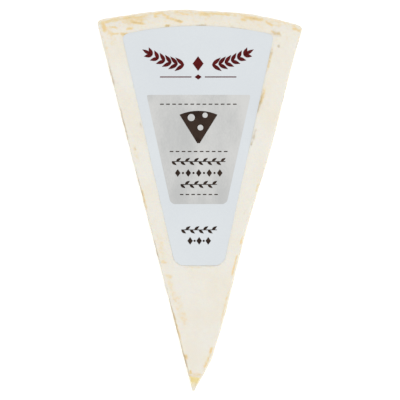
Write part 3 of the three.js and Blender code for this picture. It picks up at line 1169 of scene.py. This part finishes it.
def new_material(name):
    """A material with its node tree, its shader and the piece's own coordinates."""
    material = bpy.data.materials.new(name)
    material.use_nodes = True
    tree = material.node_tree
    tree.nodes.clear()
    shader = tree.nodes.new("ShaderNodeBsdfPrincipled")
    end = tree.nodes.new("ShaderNodeOutputMaterial")
    tree.links.new(shader.outputs["BSDF"], end.inputs["Surface"])
    coordinates = tree.nodes.new("ShaderNodeTexCoord").outputs["Object"]
    return material, tree, shader, coordinates


def attribute(tree, name):
    """A share that the mesh holds for each point."""
    return add_node(tree, "ShaderNodeAttribute", {}, attribute_name=name).outputs["Fac"]


def bump(tree, height, strength, distance):
    """A normal for that height."""
    inputs = {"Height": height, "Strength": strength, "Distance": distance}
    return add_node(tree, "ShaderNodeBump", inputs).outputs["Normal"]


def rind_colour(tree, coordinates, colours):
    """White bloom in soft clouds, tan where it is thin and in a few streaks of painted shadow by the label's
    edges, darker where it is rubbed off, and grey-brown for the painted shade along the left cut's edge, the
    painted shadow by the label's edges and dried marks."""
    tan_amount = attribute(tree, "tan")
    tan_mask = ragged(tree, coordinates, tan_amount, *TAN_MASK)
    dark_mask = ragged(tree, coordinates, tan_amount, *DARK_MASK)
    # Painted shade and shadow, with dried marks, as grey-brown
    painted_shade_and_dried_mask = ragged(tree, coordinates, attribute(tree, "dried"), *PAINTED_SHADE_AND_DRIED_MASK)
    rind = mottled(tree, coordinates, colours.bloom, colours.bloom_warm, *BLOOM_MOTTLE)
    tint = math_node(tree, "MULTIPLY", soft_range(tree, tan_amount, *TINT_AMOUNTS), TINT_SHARE)
    rind = mix_colours(tree, math_node(tree, "MAXIMUM", tan_mask, tint), rind, colours.tan)
    rind = mix_colours(tree, math_node(tree, "MULTIPLY", dark_mask, DARK_SHARE), rind, colours.tan_dark)
    return mix_colours(tree, math_node(tree, "MULTIPLY", painted_shade_and_dried_mask, PAINTED_SHADE_AND_DRIED_SHARE), rind, colours.dried)


def paste_colour(tree, coordinates, colours, depth):
    """Ivory paste, mottled with ripe paste under the rind and paler towards the middle, and ripe where the
    mesh says so."""
    paste = mottled(tree, coordinates, colours.paste, colours.paste_ripe, *PASTE_MOTTLE)
    paleness = mix_values(tree, soft_range(tree, depth, *PALE_DEPTHS), *PALE_SHARES)
    paste = mix_colours(tree, paleness, paste, colours.paste)
    return mix_colours(tree, attribute(tree, "ripe"), paste, colours.paste_ripe)


def cheese_material(colours):
    """Velvety rind, and moist paste where it is cut or has broken off."""
    material, tree, shader, coordinates = new_material("rind_and_paste")
    depth = attribute(tree, "depth")
    cut = ragged(tree, coordinates, depth, *CUT_MASK)
    broken = ragged(tree, coordinates, attribute(tree, "bare"), *BREAK_MASK)
    paste_mask = math_node(tree, "MAXIMUM", cut, broken)
    rind = rind_colour(tree, coordinates, colours)
    paste = paste_colour(tree, coordinates, colours, depth)
    fuzz = grain(tree, coordinates, FUZZ_SIZE)
    velvet = math_node(tree, "ADD", fuzz, grain(tree, coordinates, VELVET_SIZE))
    relief = mix_values(tree, paste_mask, velvet, grain(tree, coordinates, SMEAR_SIZE))
    set_inputs(tree, shader, {
        "Base Color": mix_colours(tree, paste_mask, rind, paste),
        "Normal": bump(tree, relief, strength=0.5, distance=0.16 * MM),
        "Roughness": mix_values(tree, paste_mask, *CHEESE_ROUGHNESS),
        "Specular IOR Level": 0.3,
        "Subsurface Weight": 0.18,
        "Subsurface Radius": (1.0, 0.72, 0.42),
        "Subsurface Scale": 2.2 * MM,
        "Sheen Weight": 0.05,
        "Sheen Roughness": 0.5,
    })
    return material


def paper_material(colours):
    """Smooth coated paper with a faint fibre."""
    material, tree, shader, coordinates = new_material("label_paper")
    fibre = grain(tree, coordinates, PAPER_FIBRE)
    set_inputs(tree, shader, {
        "Base Color": mottled(tree, coordinates, colours.paper, colours.paper_shade, *PAPER_MOTTLE),
        "Normal": bump(tree, fibre, strength=0.12, distance=0.03 * MM),
        "Roughness": mix_values(tree, fibre, *PAPER_ROUGHNESS),
        "Specular IOR Level": 0.4,
    })
    return material


def ink_material(name, first, second, cloud, stretch=1):
    """Printing ink, uneven in tone, in clouds of that size, which may be stretched along the label."""
    material, tree, shader, coordinates = new_material(name)
    mapping = {"Vector": coordinates, "Scale": (1, 1 / stretch, 1)}
    stretched = add_node(tree, "ShaderNodeMapping", mapping).outputs["Vector"]
    set_inputs(tree, shader, {
        "Base Color": mottled(tree, stretched, first, second, cloud, *INK_GRAINS),
        "Roughness": mix_values(tree, grain(tree, coordinates, PAPER_FIBRE), *INK_ROUGHNESS),
        "Specular IOR Level": 0.08,
    })
    return material


def floor_material(stage):
    """A pale matt floor that gives off a little light, as a light table does."""
    material, tree, shader, _ = new_material("studio_floor")
    set_inputs(tree, shader, {
        "Base Color": stage.floor,
        "Roughness": 0.9,
        "Specular IOR Level": 0.1,
        "Emission Color": WHITE,
        "Emission Strength": stage.glow,
    })
    return material


# The stage


def soft_light(name, watts, size, spot):
    """A square light of that size at a spot, turned to the wedge."""
    light = bpy.data.lights.new(name, "AREA")
    light.energy = watts
    light.size = size
    lamp = bpy.data.objects.new(name, light)
    lamp.location = spot
    lamp.rotation_euler = lamp.location.to_track_quat("Z", "Y").to_euler()
    bpy.context.scene.collection.objects.link(lamp)


def studio_floor(stage):
    """A level square under the wedge."""
    reach = FLOOR_REACH
    corners = np.array(((-reach, -reach, 0), (reach, -reach, 0), (reach, reach, 0), (-reach, reach, 0)))
    mesh = new_mesh("studio_floor", corners, np.array(((0, 1, 2, 3),)))
    mesh.materials.append(floor_material(stage))
    floor = bpy.data.objects.new(mesh.name, mesh)
    bpy.context.scene.collection.objects.link(floor)


def studio_camera(stage):
    """A camera that looks straight down and takes in the view width at the view depth."""
    lens = bpy.data.cameras.new("camera")
    lens.lens = lens.sensor_width * stage.camera_distance / stage.view_width
    lens.clip_end = FAR_END
    camera = bpy.data.objects.new("camera", lens)
    camera.location = (*VIEW_MIDDLE, VIEW_DEPTH + stage.camera_distance)
    bpy.context.scene.collection.objects.link(camera)
    bpy.context.scene.camera = camera


def studio_sky(stage):
    """An even white light all round."""
    world = bpy.data.worlds.new("studio")
    world.use_nodes = True
    background = world.node_tree.nodes["Background"]
    set_inputs(world.node_tree, background, {"Color": WHITE, "Strength": stage.sky})
    bpy.context.scene.world = world


# Operators


class CHEESE_OT_wedge(bpy.types.Operator):
    """Make the wedge with its rind, its cut paste and its broken point"""

    bl_idname = "cheese.wedge"
    bl_label = "Make wedge"

    def execute(self, context):
        mesh = wedge_mesh(context.scene.cheese_wedge, context.scene.cheese_label)
        new_piece(mesh, cheese_material(context.scene.cheese_colours), "cheese")
        return {"FINISHED"}


class CHEESE_OT_label(bpy.types.Operator):
    """Make the paper label that lies on the top rind"""

    bl_idname = "cheese.label"
    bl_label = "Make label"

    def execute(self, context):
        points, quads = label_surface(context.scene.cheese_wedge, context.scene.cheese_label)
        mesh = new_mesh("paper_label", points, quads)
        new_piece(mesh, paper_material(context.scene.cheese_label_colours), "label")
        return {"FINISHED"}


class CHEESE_OT_print(bpy.types.Operator):
    """Print the panel, the ornament and the small figures on the label"""

    bl_idname = "cheese.print"
    bl_label = "Print label"

    def execute(self, context):
        inks = context.scene.cheese_label_colours
        grey = ink_material("panel_grey", inks.panel, inks.panel_shade, cloud=14 * MM, stretch=2)
        red = ink_material("red_ink", inks.red_ink, inks.red_ink_thin, cloud=4 * MM)
        brown = ink_material("brown_ink", inks.brown_ink, inks.brown_ink_thin, cloud=4 * MM)
        # Each piece: name, figures, layer of ink, grid steps of a figure, and ink
        layers = (
            ("label_panel", [panel_figure()], 1, (48, 52, 1), grey),
            ("label_sprigs", ornament_figures(), 1, (10, 6, 1), red),
            ("label_figures", brown_figures(), 2, (10, 8, 1), brown),
            ("label_slice_eyes", eye_figures(), 3, (8, 8, 1), grey),
        )
        sizes = context.scene.cheese_wedge
        label = context.scene.cheese_label
        for name, figures, layer, steps, ink in layers:
            points, quads = printed_figures(sizes, label, figures, layer, steps)
            new_piece(new_mesh(name, points, quads), ink)
        return {"FINISHED"}


class CHEESE_OT_stage(bpy.types.Operator):
    """Set the floor, the soft lights and the camera that looks straight down"""

    bl_idname = "cheese.stage"
    bl_label = "Set stage"

    def execute(self, context):
        stage = context.scene.cheese_stage
        studio_floor(stage)
        studio_camera(stage)
        soft_light("key", stage.key_power, KEY_SIZE, KEY_SPOT)
        for name, spot in zip(("fill_left", "fill_right"), FILL_SPOTS):
            soft_light(name, stage.fill_power, FILL_SIZE, spot)
        studio_sky(stage)
        context.scene.view_settings.view_transform = "Standard"
        return {"FINISHED"}


class CHEESE_PT_sidebar(bpy.types.Panel):
    """Lists the wedge's settings and its makers in the 3D view's sidebar"""

    bl_label = "Cheese wedge"
    bl_space_type = "VIEW_3D"
    bl_region_type = "UI"
    bl_category = "Cheese"

    def draw(self, context):
        for settings in SETTINGS:
            box = self.layout.box()
            group = getattr(context.scene, settings)
            for name in group.bl_rna.properties.keys():
                if name not in ("rna_type", "name"):
                    box.prop(group, name)
        for maker in OPERATORS:
            self.layout.operator(maker.bl_idname)


SETTINGS = {
    "cheese_wedge": WedgeSizes,
    "cheese_colours": CheeseColours,
    "cheese_label": LabelSizes,
    "cheese_label_colours": LabelColours,
    "cheese_stage": StageSettings,
}
OPERATORS = (CHEESE_OT_wedge, CHEESE_OT_label, CHEESE_OT_print, CHEESE_OT_stage)
CLASSES = (*SETTINGS.values(), *OPERATORS, CHEESE_PT_sidebar)


def register():
    for one in CLASSES:
        bpy.utils.register_class(one)
    for name, settings in SETTINGS.items():
        setattr(bpy.types.Scene, name, PointerProperty(type=settings))


def unregister():
    for name in SETTINGS:
        delattr(bpy.types.Scene, name)
    for one in reversed(CLASSES):
        bpy.utils.unregister_class(one)


def main():
    register()
    bpy.ops.cheese.wedge()
    bpy.ops.cheese.label()
    bpy.ops.cheese.print()
    bpy.ops.cheese.stage()


if __name__ == "__main__":
    main()
